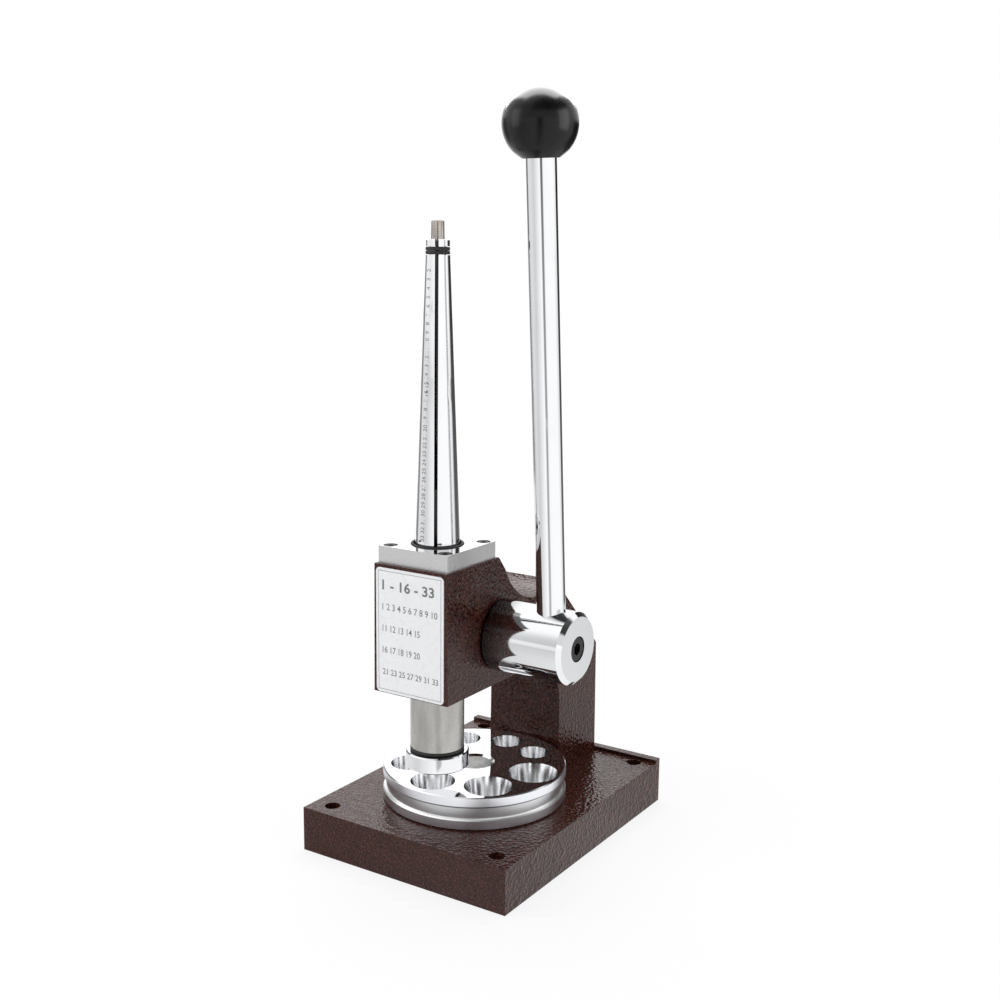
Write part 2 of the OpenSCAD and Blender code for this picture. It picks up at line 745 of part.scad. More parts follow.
module lever_hub() {
  color(chrome) difference() {
    translate([hub_x0, pinion_y, shaft_z]) rotate([0, 90, 0]) rotate_extrude() polygon([
      [0, 0], [hub_d / 2, 0], [hub_d / 2, hub_len - hub_edge],
      [hub_d / 2 - hub_edge, hub_len], [0, hub_len]
    ]);
    shaft_cylinder(hub_x0 - overrun, shaft_x1 + seat_gap, shaft_d / 2 + seat_gap);
    shaft_cylinder(shaft_x1, hub_x1, hub_screw_d / 2 + free_gap);
    shaft_cylinder(hub_screw_x0 - seat_gap, hub_x1 + overrun, hub_screw_head_d / 2 + hub_screw_room);
    translate([hub_x0, pinion_y, shaft_z - shaft_d / 2 - key_out])
      translate([-overrun, -key_w / 2 - seat_gap, -seat_gap])
        cube([key_x1 - hub_x0 + overrun + seat_gap, key_w + 2 * seat_gap, key_out + shaft_d / 4]);
    on_lever() translate([0, 0, lever_seat - seat_gap])
      cylinder(d = lever_d + 2 * seat_gap, h = hub_d / 2);
  }
}

module hub_screw() {
  color(dark_steel) difference() {
    union() {
      shaft_cylinder(hub_screw_x0, hub_x1 - hub_screw_sink, hub_screw_head_d / 2);
      shaft_cylinder(shaft_x1 - hub_thread + overrun, hub_screw_x0 + overrun, hub_screw_d / 2);
    }
    shaft_hex(hub_x1 - hub_screw_sink - hub_screw_d * hex_share, hub_x1 + overrun,
      hub_screw_d * hex_width_share);
  }
}

module end_washer() {
  color(steel) difference() {
    shaft_cylinder(end_x - washer_t, end_x, washer_d / 2);
    shaft_cylinder(end_x - washer_t - overrun, end_x + overrun, end_screw_d / 2 + seat_gap);
  }
}

module end_screw() {
  head_x = end_x - washer_t;
  color(dark_steel) difference() {
    union() {
      shaft_cylinder(head_x - end_head_h, head_x, end_head_d / 2);
      shaft_cylinder(head_x - seat_gap, end_x + end_thread - overrun, end_screw_d / 2);
    }
    shaft_hex(head_x - end_head_h - overrun, head_x - end_head_h * hex_share,
      end_screw_d * hex_width_share);
  }
}

module lever_rod() {
  color(chrome) on_lever() translate([0, 0, lever_seat])
    cylinder(d = lever_d, h = lever_len - ball_flat_drop + knob_grip - lever_seat);
}

module ball_knob() {
  color(rubber) on_lever() translate([0, 0, lever_len]) difference() {
    union() {
      sphere(d = ball_d);
      translate([0, 0, -ball_flat_drop])
        cylinder(r1 = flat_r, r2 = neck_r - seat_gap, h = neck_h);
    }
    translate([0, 0, -ball_flat_drop - ball_d]) cylinder(d = ball_d, h = ball_d);
    translate([0, 0, -ball_d])
      cylinder(d = lever_d + 2 * seat_gap, h = ball_d - ball_flat_drop + knob_grip + seat_gap);
  }
}

base_plate();
frame_casting();
frame_bolts();
label_plate();
mandrel_plate();
plate_screws();
foot_ring();
top_rings();
bush_right();
bush_left();
die_pivot();
die_plate();
ram();
rod_nut();
ram_ring();
press_shoe();
shoe_screw();
draw_rod();
mandrel_leaf_right();
mandrel_leaf_back();
mandrel_leaf_left();
mandrel_leaf_front();
pinion_shaft();
hub_key();
lever_hub();
hub_screw();
end_washer();
end_screw();
lever_rod();
ball_knob();
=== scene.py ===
import math

import bmesh
import bpy
from mathutils import Matrix, Vector


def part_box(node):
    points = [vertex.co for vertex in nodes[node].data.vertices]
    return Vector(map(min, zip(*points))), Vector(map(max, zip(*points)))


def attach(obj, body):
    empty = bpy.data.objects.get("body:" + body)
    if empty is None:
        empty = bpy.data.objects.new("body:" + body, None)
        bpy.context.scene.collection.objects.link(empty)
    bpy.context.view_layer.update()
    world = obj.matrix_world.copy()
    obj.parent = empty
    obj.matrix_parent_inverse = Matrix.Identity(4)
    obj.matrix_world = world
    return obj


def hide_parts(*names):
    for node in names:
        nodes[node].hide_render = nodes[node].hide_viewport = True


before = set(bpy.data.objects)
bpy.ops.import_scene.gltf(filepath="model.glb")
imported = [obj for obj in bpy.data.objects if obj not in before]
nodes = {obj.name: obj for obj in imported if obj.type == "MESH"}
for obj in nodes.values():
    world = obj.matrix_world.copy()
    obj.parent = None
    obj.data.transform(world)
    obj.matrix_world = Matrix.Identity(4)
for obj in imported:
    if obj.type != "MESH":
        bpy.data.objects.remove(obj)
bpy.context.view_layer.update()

mm = 0.001
labelLow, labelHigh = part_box("label_plate")
leafLow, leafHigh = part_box("mandrel_leaf_front")
_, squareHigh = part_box("mandrel_plate")
dieLow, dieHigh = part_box("die_plate")
hubLow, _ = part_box("lever_hub")
mandrelAxis = (0.0, -51.6 * mm)
pureWhite = (1, 1, 1, 1)

# Where the machine is seen from: place in metres, turns in degrees, lens and film width in mm
viewpoint = {
    "place": (0.38789, -0.58887, 0.32329),
    "azimuth": 33.03,
    "elevation": 10.66,
    "roll": 0.58,
    "lens": 46.8,
    "filmWidth": 36,
    "clip": (0.05, 60),
}


def addObject(name, data):
    made = bpy.data.objects.new(name, data)
    bpy.context.scene.collection.objects.link(made)
    return made


def meshFrom(work, name):
    mesh = bpy.data.meshes.new(name)
    work.to_mesh(mesh)
    work.free()
    return mesh


def aimCamera(v):
    turn, tilt, roll = (math.radians(v[k]) for k in ("azimuth", "elevation", "roll"))
    ahead = Vector((-math.sin(turn) * math.cos(tilt), math.cos(turn) * math.cos(tilt), -math.sin(tilt)))
    level = Vector((math.cos(turn), math.sin(turn), 0))
    right = level * math.cos(roll) + level.cross(ahead) * math.sin(roll)
    up = right.cross(ahead)
    data = bpy.data.cameras.new("viewCamera")
    data.lens = v["lens"]
    data.sensor_width = v["filmWidth"]
    data.clip_start, data.clip_end = v["clip"]
    cam = addObject("viewCamera", data)
    grid = Matrix((right, up, -ahead)).transposed().to_4x4()
    grid.translation = Vector(v["place"])
    cam.matrix_world = grid
    bpy.context.scene.camera = cam


aimCamera(viewpoint)
print("camera placed")

# Small helpers for node trees
noiseBand = (0.3, 0.7)  # most of a noise's values lie between these
mixFirst, mixSecond, mixResult = 6, 7, 2  # the colour sockets of a Mix node


def startMaterial(name):
    mat = bpy.data.materials.new(name)
    mat.use_nodes = True
    tree = mat.node_tree
    shader = next(n for n in tree.nodes if n.type == "BSDF_PRINCIPLED")
    return mat, tree, shader


def addNode(tree, kind, inputs=None, **settings):
    made = tree.nodes.new("ShaderNode" + kind)
    for key, value in settings.items():
        setattr(made, key, value)
    for key, value in (inputs or {}).items():
        made.inputs[key].default_value = value
    return made


def link(tree, source, target):
    tree.links.new(source, target)


def setSurface(tree, source):
    end = next(n for n in tree.nodes if n.type == "OUTPUT_MATERIAL")
    link(tree, source, end.inputs["Surface"])


def setShader(tree, shader, tone, rough, metallic=0.0, shine=0.5):
    link(tree, tone, shader.inputs["Base Color"])
    link(tree, rough, shader.inputs["Roughness"])
    shader.inputs["Metallic"].default_value = metallic
    shader.inputs["Specular IOR Level"].default_value = shine


def ramp(tree, source, stops):
    made = tree.nodes.new("ShaderNodeValToRGB")
    bar = made.color_ramp.elements
    while len(bar) < len(stops):
        bar.new(0.5)
    for element, (place, colour) in zip(bar, stops):
        element.position = place
        element.color = (*colour, 1)
    link(tree, source, made.inputs["Fac"])
    return made.outputs["Color"]


def grey(value):
    return (value, value, value)


# Two shades of one colour, at the low and at the high values of a noise
def twoTones(tree, source, colour, shades, band=noiseBand):
    tones = [tuple(c * shade for c in colour) for shade in shades]
    return ramp(tree, source, list(zip(band, tones)))


def smoothStep(tree, source, low, high, outLow=0.0, outHigh=1.0):
    made = addNode(tree, "MapRange", {"From Min": low, "From Max": high, "To Min": outLow, "To Max": outHigh},
                   interpolation_type="SMOOTHSTEP")
    link(tree, source, made.inputs["Value"])
    return made.outputs["Result"]


def calc(tree, operation, first, second=None):
    made = addNode(tree, "Math", operation=operation)
    for socket, value in zip(made.inputs, (first, second)):
        if isinstance(value, (int, float)):
            socket.default_value = value
        elif value is not None:
            link(tree, value, socket)
    return made.outputs[0]


def add(tree, first, second):
    return calc(tree, "ADD", first, second)


def multiply(tree, first, second):
    return calc(tree, "MULTIPLY", first, second)


def opposite(tree, share):
    return calc(tree, "SUBTRACT", 1.0, share)


# How far from the Z axis
def fromAxis(tree, x, y):
    return calc(tree, "SQRT", add(tree, calc(tree, "POWER", x, 2.0), calc(tree, "POWER", y, 2.0)))


def blendColours(tree, share, first, second, kind="MIX"):
    made = addNode(tree, "Mix", data_type="RGBA", blend_type=kind)
    sockets = (made.inputs["Factor"], made.inputs[mixFirst], made.inputs[mixSecond])
    for socket, value in zip(sockets, (share, first, second)):
        if isinstance(value, (int, float)):
            socket.default_value = value
        elif isinstance(value, tuple):
            socket.default_value = (*value, 1)
        else:
            link(tree, value, socket)
    return made.outputs[mixResult]


def mixShaders(tree, share, first, second):
    made = addNode(tree, "MixShader")
    for socket, source in zip(made.inputs, (share, first, second)):
        link(tree, source, socket)
    return made.outputs[0]


# Bump layers, the coarse one first, each with its height, strength and depth in metres
def addBumps(tree, shader, layers):
    below = None
    for height, strength, depth in layers:
        bump = addNode(tree, "Bump", {"Strength": strength, "Distance": depth})
        link(tree, height, bump.inputs["Height"])
        if below is not None:
            link(tree, below.outputs["Normal"], bump.inputs["Normal"])
        below = bump
    link(tree, below.outputs["Normal"], shader.inputs["Normal"])


def objectPoint(tree, centre=(0, 0, 0)):
    place = addNode(tree, "TexCoord").outputs["Object"]
    shift = addNode(tree, "VectorMath", operation="SUBTRACT")
    shift.inputs[1].default_value = centre
    link(tree, place, shift.inputs[0])
    return shift.outputs[0]


def stretched(tree, point, scale):
    made = addNode(tree, "Mapping", {"Scale": scale})
    link(tree, point, made.inputs["Vector"])
    return made.outputs["Vector"]


def cloud(tree, point, scale, detail=3, roughness=0.6):
    made = addNode(tree, "TexNoise", {"Scale": scale, "Detail": detail, "Roughness": roughness})
    link(tree, point, made.inputs["Vector"])
    return made.outputs["Fac"]


# A simple noise for ripples and dust
def softCloud(tree, point, scale, detail=2):
    return cloud(tree, point, scale, detail, 0.5)


def axes(tree, point):
    made = addNode(tree, "SeparateXYZ")
    link(tree, point, made.inputs[0])
    return made.outputs


# In the looks a scale is a noise's, per metre, and a bump is a pair: strength, and depth in metres.

# Hammered brown paint on the base plate and the casting
paintLook = {
    "brown": (0.044, 0.0108, 0.0080),
    "deep": (0.014, 0.0036, 0.0030),
    "fleck": (0.118, 0.042, 0.030),
    "olive": (0.080, 0.046, 0.018),
    "fleckSize": 0.95 * mm,
    "fleckStops": (0.39, 0.48, 0.53, 0.65),
    "fleckBump": (0.25, 0.03 * mm),
    "oliveScale": 0.7,  # times the flecks' scale
    "oliveBand": (0.56, 0.68),
    "oliveShare": 0.40,
    "dimpleSize": 1.8 * mm,
    "dimpleSoftness": 0.6,
    "dimplePower": 1.7,
    "dimpleBump": (0.6, 0.52 * mm),
    "wobbleScale": 0.4,  # times the dimples' scale
    "wobble": 0.8,  # times the dimples' size
    "waveSize": 7.0 * mm,
    "waveShades": [(0.35, grey(0.84)), (0.65, grey(1.12))],
    "waveBump": (0.30, 0.28 * mm),
    "roughBand": (0.35, 0.7),
    "roughness": (0.08, 0.23),
    "shine": 0.25,
}


def makePaint(look):
    mat, tree, shader = startMaterial("hammeredPaint")
    point = objectPoint(tree)
    flecks = cloud(tree, point, 1 / look["fleckSize"])
    patches = cloud(tree, point, 1 / look["waveSize"], roughness=0.55)
    tones = (look["deep"], look["brown"], look["brown"], look["fleck"])
    base = ramp(tree, flecks, list(zip(look["fleckStops"], tones)))
    green = smoothStep(tree, softCloud(tree, point, look["oliveScale"] / look["fleckSize"]), *look["oliveBand"])
    base = blendColours(tree, multiply(tree, green, look["oliveShare"]), base, look["olive"])
    tone = blendColours(tree, 1.0, base, ramp(tree, patches, look["waveShades"]), "MULTIPLY")
    rough = smoothStep(tree, flecks, *look["roughBand"], *look["roughness"])
    setShader(tree, shader, tone, rough, shine=look["shine"])

    warp = addNode(tree, "VectorMath", operation="MULTIPLY_ADD")
    wobble = addNode(tree, "TexNoise", {"Scale": look["wobbleScale"] / look["dimpleSize"], "Detail": 1.0})
    link(tree, point, wobble.inputs["Vector"])
    link(tree, wobble.outputs["Color"], warp.inputs[0])
    warp.inputs[1].default_value = grey(look["dimpleSize"] * look["wobble"])
    link(tree, point, warp.inputs[2])
    cells = addNode(tree, "TexVoronoi", {"Scale": 1 / look["dimpleSize"], "Smoothness": look["dimpleSoftness"]},
                    feature="SMOOTH_F1")
    link(tree, warp.outputs[0], cells.inputs["Vector"])
    hollow = calc(tree, "POWER", cells.outputs["Distance"], look["dimplePower"])
    layers = ((patches, "waveBump"), (hollow, "dimpleBump"), (flecks, "fleckBump"))
    addBumps(tree, shader, [(height, *look[bump]) for height, bump in layers])
    return mat


# Polished chrome on the lever, hub, shoe and leaves
chromeLook = {
    "colour": (0.815, 0.82, 0.832),
    "shades": (0.97, 1.0),
    "roughness": 0.045,
    "haze": 0.03,
    "hazeScale": 60,
    "hazeBand": (0.15, 0.4),
    "scratchScale": 900,
    "scratch": (0.25, 0.003 * mm),
    "rippleScale": 25,
    "ripple": (0.10, 0.02 * mm),
}
leafLook = {**chromeLook, "roughness": 0.055, "haze": 0.05, "scratch": (0.25, 0.004 * mm)}
hubLook = {**chromeLook, "colour": (0.79, 0.80, 0.815)}
# The hub's dark inner end, painted into its colour: a black line of painted shadow where it leaves the casting, then a
# painted reflection of the dark casting that fades along it
hubPaintedShade = {
    "start": hubLow.x,
    "line": 1.1 * mm,
    "shadowLineTone": grey(0.01),
    "shade": 19 * mm,
    "shadeTone": grey(0.02),
    "shadeShare": 0.75,
}


def makeChrome(name, look, along, end=None):
    mat, tree, shader = startMaterial(name)
    point = objectPoint(tree)
    haze = cloud(tree, point, look["hazeScale"])
    tone = twoTones(tree, haze, look["colour"], look["shades"])
    # Painted shade at the hub's inner end: a painted shadow line, then a fading painted reflection of the casting
    if end is not None:
        x = axes(tree, point)["X"]
        line, shade = end["start"] + end["line"], end["start"] + end["shade"]
        fade = smoothStep(tree, x, line, shade, end["shadeShare"], 0.0)
        tone = blendColours(tree, fade, tone, end["shadeTone"])
        edge = smoothStep(tree, x, end["start"] + end["line"] / 2, line, 1.0, 0.0)
        tone = blendColours(tree, edge, tone, end["shadowLineTone"])
    fine = cloud(tree, stretched(tree, point, along), look["scratchScale"])
    smeared = multiply(tree, haze, fine)
    rough = smoothStep(tree, smeared, *look["hazeBand"], look["roughness"], look["roughness"] + look["haze"])
    setShader(tree, shader, tone, rough, metallic=1.0)
    ripple = softCloud(tree, point, look["rippleScale"], 1)
    addBumps(tree, shader, [(ripple, *look["ripple"]), (fine, *look["scratch"])])
    return mat


# Ground steel on the ram, the rod's tip, the square plate and the pins
steelLook = {
    "colour": (0.475, 0.465, 0.445),
    "roughness": 0.26,
    "spread": 0.14,
    "markScale": 500,
    "marks": (0.35, 0.02 * mm),
    "dustScale": 2600,
    "dust": (0.2, 0.01 * mm),
    "stain": 0.80,
    "stainSize": 8 * mm,
    "stainRise": 0.3,
    "stainDetail": (4, 0.65),
    "stainBand": (0.35, 0.60),
    "topTone": (0.82, 0.82, 0.83),
    "topBand": (0.85, 0.95),
    # Painted shade for the rod where it sits inside the leaves
    "paintedShadeTone": grey(0.045),
    "paintedShadeEdge": 1 * mm,
}
tipLook = {**steelLook, "colour": (0.50, 0.46, 0.43), "roughness": 0.16, "stain": 0.7, "stainSize": 2 * mm}
plateLook = {**steelLook, "colour": (0.68, 0.68, 0.685), "roughness": 0.30, "stain": 0.92,
             "stainSize": 1.2 * mm, "stainRise": 1.0}
pinLook = {**steelLook, "colour": (0.45, 0.45, 0.44), "roughness": 0.35}
pivotLook = {**steelLook, "colour": (0.42, 0.42, 0.42), "roughness": 0.36}


# along: the marks' scale on each axis; topRoughness: of polished faces that look up; the last: a height up to which
# painted shade darkens the steel
def makeGroundSteel(name, look, along=(1, 1, 1), topRoughness=None, paintedShadeBelow=None):
    mat, tree, shader = startMaterial(name)
    point = objectPoint(tree)
    marks = cloud(tree, stretched(tree, point, along), look["markScale"], 4)
    tall = stretched(tree, point, (1, 1, look["stainRise"]))
    blotch = cloud(tree, tall, 1 / look["stainSize"], *look["stainDetail"])
    tone = twoTones(tree, blotch, look["colour"], (look["stain"], 1.0), look["stainBand"])
    rough = smoothStep(tree, marks, *noiseBand, look["roughness"], look["roughness"] + look["spread"])
    if topRoughness is not None:
        up = axes(tree, addNode(tree, "NewGeometry").outputs["Normal"])["Z"]
        share = smoothStep(tree, up, *look["topBand"])
        rough = add(tree, multiply(tree, rough, opposite(tree, share)), multiply(tree, share, topRoughness))
        tone = blendColours(tree, share, tone, look["topTone"])
    # Painted shade: dark below the given height, where the rod sits inside the leaves
    if paintedShadeBelow is not None:
        above = smoothStep(tree, axes(tree, point)["Z"], paintedShadeBelow - look["paintedShadeEdge"], paintedShadeBelow)
        tone = blendColours(tree, above, look["paintedShadeTone"], tone)
    setShader(tree, shader, tone, rough, metallic=1.0)
    dust = softCloud(tree, point, look["dustScale"])
    addBumps(tree, shader, [(marks, *look["marks"]), (dust, *look["dust"])])
    return mat


# The die plate: mirror top, satin side and groove, finely turned holes; painted shade in the groove, a painted shadow
# line under the upper rim, a painted highlight line at the groove's foot, and painted light in the holes
diePlateLook = {
    "colour": (0.84, 0.845, 0.86),
    "mirror": 0.03,
    "haze": 0.03,
    "hazeScale": 70,
    "hazeBand": (0.35, 0.75),
    "satin": 0.26,
    "holeSatin": 0.10,
    "paintedHoleLight": (0.95, 0.955, 0.965),
    "rim": (0.84, 0.85, 0.89),
    "rimDepths": (2.6 * mm, 2.0 * mm),
    "topDepths": (0.15 * mm, 0.7 * mm),
    "paintedGrooveShade": (0.74, 0.75, 0.77),
    "grooveShares": (0.296, 0.701),
    "grooveEdge": 0.2 * mm,
    "paintedShadowLine": (-0.4 * mm, 0.9, (0.08, 0.08, 0.09)),
    "paintedHighlightLine": (0.3 * mm, 1.0, (1.0, 1.0, 1.0)),
    "lineWidths": (0.9 * mm, 0.4 * mm),
    "turnedSize": 0.5 * mm,
    "turnedAlong": (0.1, 0.1, 1),
    "turned": (0.15, 0.006 * mm),
    "rippleScale": 30,
    "ripple": (0.05, 0.05 * mm),
    "pivot": ((dieLow.x + dieHigh.x) / 2, (dieLow.y + dieHigh.y) / 2, 0.0),
    "bottom": dieLow.z,
    "top": dieHigh.z,
    "radius": (dieHigh.x - dieLow.x) / 2,
}


def makeDiePlateFinish(look):
    mat, tree, shader = startMaterial("diePlateChrome")
    point = objectPoint(tree, look["pivot"])
    x, y, z = axes(tree, point)
    outside = smoothStep(tree, fromAxis(tree, x, y), *(look["radius"] - depth for depth in look["rimDepths"]))
    below = smoothStep(tree, z, *(look["top"] - depth for depth in look["topDepths"]))
    side = multiply(tree, outside, below)
    hole = multiply(tree, opposite(tree, outside), below)

    height, edge = look["top"] - look["bottom"], look["grooveEdge"]
    low, high = (look["bottom"] + height * share for share in look["grooveShares"])
    groove = multiply(tree, smoothStep(tree, z, low - edge, low + edge), smoothStep(tree, z, high + edge, high - edge))
    # The groove's darker tone is painted shade
    sideTone = blendColours(tree, groove, look["rim"], look["paintedGrooveShade"])
    # A dark line of painted shadow under the upper rim, and a bright line of painted highlight above the groove's
    # lower edge
    for border, (shift, share, tone) in ((high, look["paintedShadowLine"]), (low, look["paintedHighlightLine"])):
        away = calc(tree, "ABSOLUTE", calc(tree, "SUBTRACT", z, border + shift))
        near = smoothStep(tree, away, *look["lineWidths"])
        sideTone = blendColours(tree, multiply(tree, near, share), sideTone, tone)
    # The holes' lighter tone is painted light
    tone = blendColours(tree, side, blendColours(tree, hole, look["colour"], look["paintedHoleLight"]), sideTone)

    haze = cloud(tree, point, look["hazeScale"])
    gloss = smoothStep(tree, haze, *look["hazeBand"], look["mirror"], look["mirror"] + look["haze"])
    satin = add(tree, multiply(tree, side, look["satin"]), multiply(tree, hole, look["holeSatin"]))
    setShader(tree, shader, tone, add(tree, satin, gloss), metallic=1.0)
    ripple = softCloud(tree, point, look["rippleScale"], 1)
    turned = softCloud(tree, stretched(tree, point, look["turnedAlong"]), 1 / look["turnedSize"])
    addBumps(tree, shader, [(ripple, *look["ripple"]), (multiply(tree, turned, side), *look["turned"])])
    return mat


# Moulded black knob; dents: noise scale, strength and depth
knobLook = {
    "colour": (0.0036, 0.0036, 0.0042),
    "shades": (1.0, 1.7),
    "band": (0.3, 0.75),
    "scale": 140,
    "roughness": (0.20, 0.25),
    "shine": 0.24,
    "dents": [(60, 0.10, 0.15 * mm), (1800, 0.10, 0.01 * mm)],
}


def makeKnobPlastic(look):
    mat, tree, shader = startMaterial("knobPlastic")
    point = objectPoint(tree)
    haze = cloud(tree, point, look["scale"], 4)
    tone = twoTones(tree, haze, look["colour"], look["shades"], look["band"])
    rough = smoothStep(tree, haze, *look["band"], *look["roughness"])
    setShader(tree, shader, tone, rough, shine=look["shine"])
    addBumps(tree, shader, [(softCloud(tree, point, scale), *bump) for scale, *bump in look["dents"]])
    return mat


# Blackened screws
screwLook = {
    "colour": (0.020, 0.020, 0.022),
    "shades": (1.0, 2.2),
    "band": (0.3, 0.75),
    "scale": 1500,
    "roughness": (0.30, 0.48),
    "metallic": 0.7,
    "bump": (0.3, 0.02 * mm),
}
# Black rubber rings
rubberLook = {
    "colour": (0.012, 0.012, 0.012),
    "shades": (1.0, 1.9),
    "band": (0.3, 0.8),
    "scale": 2200,
    "roughness": (0.45, 0.65),
    "metallic": 0.0,
    "bump": (0.3, 0.02 * mm),
}
# Bronze bushes
bronzeLook = {
    "colour": (0.55, 0.34, 0.14),
    "shades": (0.75, 1.0),
    "band": (0.3, 0.7),
    "scale": 900,
    "roughness": (0.34, 0.46),
    "metallic": 1.0,
    "bump": (0.25, 0.02 * mm),
}
# Ink of the engraved and printed numbers
inkLook = {
    "colour": (0.10, 0.10, 0.11),
    "shades": (1.0, 2.5),
    "band": (0.3, 0.7),
    "scale": 2500,
    "roughness": (0.4, 0.6),
    "metallic": 0.0,
    "bump": None,
}


# One grain gives these four their tones, their roughness and their bump
def makeGrainy(name, look):
    mat, tree, shader = startMaterial(name)
    grain = cloud(tree, objectPoint(tree), look["scale"])
    tone = twoTones(tree, grain, look["colour"], look["shades"], look["band"])
    rough = smoothStep(tree, grain, *noiseBand, *look["roughness"])
    setShader(tree, shader, tone, rough, look["metallic"])
    if look["bump"] is not None:
        addBumps(tree, shader, [(grain, *look["bump"])])
    return mat


# Bare white plate with a thin printed border
labelInset = 1.6 * mm  # from the plate's edge to the middle of the border's line
labelLook = {
    "white": (0.95, 0.95, 0.965),
    "shades": (0.985, 1.0),
    "line": (0.30, 0.30, 0.32),
    "lineShare": 0.75,
    "lineWidths": (0.34 * mm, 0.102 * mm),
    "centre": ((labelLow.x + labelHigh.x) / 2, 0.0, (labelLow.z + labelHigh.z) / 2),
    "half": ((labelHigh.x - labelLow.x) / 2 - labelInset, (labelHigh.z - labelLow.z) / 2 - labelInset),
    "scale": 400,
    "roughness": (0.25, 0.38),
    "bump": (0.10, 0.02 * mm),
}


def makeLabelFace(look):
    mat, tree, shader = startMaterial("labelEnamel")
    x, _, z = axes(tree, objectPoint(tree, look["centre"]))
    across, upright = (calc(tree, "SUBTRACT", calc(tree, "ABSOLUTE", value), half)
                       for value, half in zip((x, z), look["half"]))
    away = calc(tree, "ABSOLUTE", calc(tree, "MAXIMUM", across, upright))
    onLine = smoothStep(tree, away, *look["lineWidths"])
    mottle = cloud(tree, objectPoint(tree), look["scale"])
    white = twoTones(tree, mottle, look["white"], look["shades"])
    tone = blendColours(tree, multiply(tree, onLine, look["lineShare"]), white, look["line"])
    setShader(tree, shader, tone, smoothStep(tree, mottle, *noiseBand, *look["roughness"]))
    addBumps(tree, shader, [(mottle, *look["bump"])])
    return mat


paint = makePaint(paintLook)
chrome = makeChrome("leverChrome", chromeLook, (1, 1, 0.06))
leafChrome = makeChrome("leafChrome", leafLook, (0.3, 0.3, 4))
hubChrome = makeChrome("hubChrome", hubLook, (1, 1, 1), hubPaintedShade)
diePlateChrome = makeDiePlateFinish(diePlateLook)
ramSteel = makeGroundSteel("ramSteel", steelLook, (0.5, 0.5, 8))
tipSteel = makeGroundSteel("tipSteel", tipLook, paintedShadeBelow=leafHigh.z)
plateSteel = makeGroundSteel("plateSteel", plateLook, topRoughness=0.08)
pinSteel = makeGroundSteel("pinSteel", pinLook)
dullSteel = makeGroundSteel("dullSteel", pivotLook)
blackSteel = makeGrainy("blackenedSteel", screwLook)
rubber = makeGrainy("blackRubber", rubberLook)
knobPlastic = makeKnobPlastic(knobLook)
bronze = makeGrainy("oiledBronze", bronzeLook)
labelFace = makeLabelFace(labelLook)
ink = makeGrainy("engravedInk", inkLook)
print("finishes made")


def dress(names, mat):
    for name in names:
        slots = nodes[name].data.materials
        slots.clear()
        slots.append(mat)


dress(["base_plate", "frame_casting"], paint)
dress(["press_shoe", "lever_rod"], chrome)
dress(["lever_hub"], hubChrome)
dress([n for n in nodes if n.startswith("mandrel_leaf")], leafChrome)
dress(["die_plate"], diePlateChrome)
dress(["ram"], ramSteel)
dress(["draw_rod"], tipSteel)
dress(["mandrel_plate"], plateSteel)
dress(["pinion_shaft", "hub_key", "end_washer"], pinSteel)
dress(["die_pivot"], dullSteel)
dress(["frame_bolts", "plate_screws", "hub_screw", "end_screw", "shoe_screw", "rod_nut"], blackSteel)
dress(["foot_ring", "top_rings", "ram_ring"], rubber)
dress(["ball_knob"], knobPlastic)
dress(["bush_right", "bush_left"], bronze)
dress(["label_plate"], labelFace)

# Pieces with softened edges: new name, body, slot, finish, width, steps, and from what corner angle in degrees
softEdges = {
    "base_plate": ("basePlateCasting", "stand", "paint", paint, 0.9 * mm, 4, 40),
    "frame_casting": ("frameCasting", "stand", "paint", paint, 1.1 * mm, 4, 32),
    "mandrel_plate": ("squarePlate", "stand", "ground_steel", plateSteel, 0.3 * mm, 2, 40),
    "label_plate": ("whiteLabel", "stand", "label", labelFace, 0.15 * mm, 2, 40),
}
# Corners closer than this are one; faces within the flat angle are one; edges past the sharp angle show
weld = 0.002 * mm
flatAngle, sharpAngle = math.radians(0.3), math.radians(38)


def softenEdges(source, name, body, slot, mat, width, steps, corner):
    mesh = nodes[source].data.copy()
    piece = addObject(name, mesh)
    if "custom_normal" in mesh.attributes:
        mesh.attributes.remove(mesh.attributes["custom_normal"])
    work = bmesh.new()
    work.from_mesh(mesh)
    bmesh.ops.remove_doubles(work, verts=work.verts, dist=weld)
    bmesh.ops.dissolve_limit(work, angle_limit=flatAngle, verts=work.verts, edges=work.edges)
    corners = [e for e in work.edges if len(e.link_faces) == 2 and e.calc_face_angle(0) > math.radians(corner)]
    bmesh.ops.bevel(work, geom=corners, offset=width, segments=steps, profile=0.5, affect="EDGES", clamp_overlap=True)
    for face in work.faces:
        face.smooth = True
    work.to_mesh(mesh)
    work.free()
    mesh.set_sharp_from_angle(angle=sharpAngle)
    mesh.materials.clear()
    mesh.materials.append(mat)
    piece.modifiers.new("flatFaces", "WEIGHTED_NORMAL").keep_sharp = True
    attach(piece, body)
    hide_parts(source)


for source, plan in softEdges.items():
    softenEdges(source, *plan)
print("edges softened")

# The ball's outline from the top down: round, then a short cone to the rod, in metres from its centre;
# lean: the rod's, in degrees
knobShape = {
    "coneStart": -13.0 * mm,
    "foot": (9.0 * mm, -16.0 * mm),
    "bore": 7.7 * mm,
    "lean": 4.25,
    "arcSteps": 48,
    "steps": 96,
}
spinWeld, spinSharp = 0.005 * mm, math.radians(30)


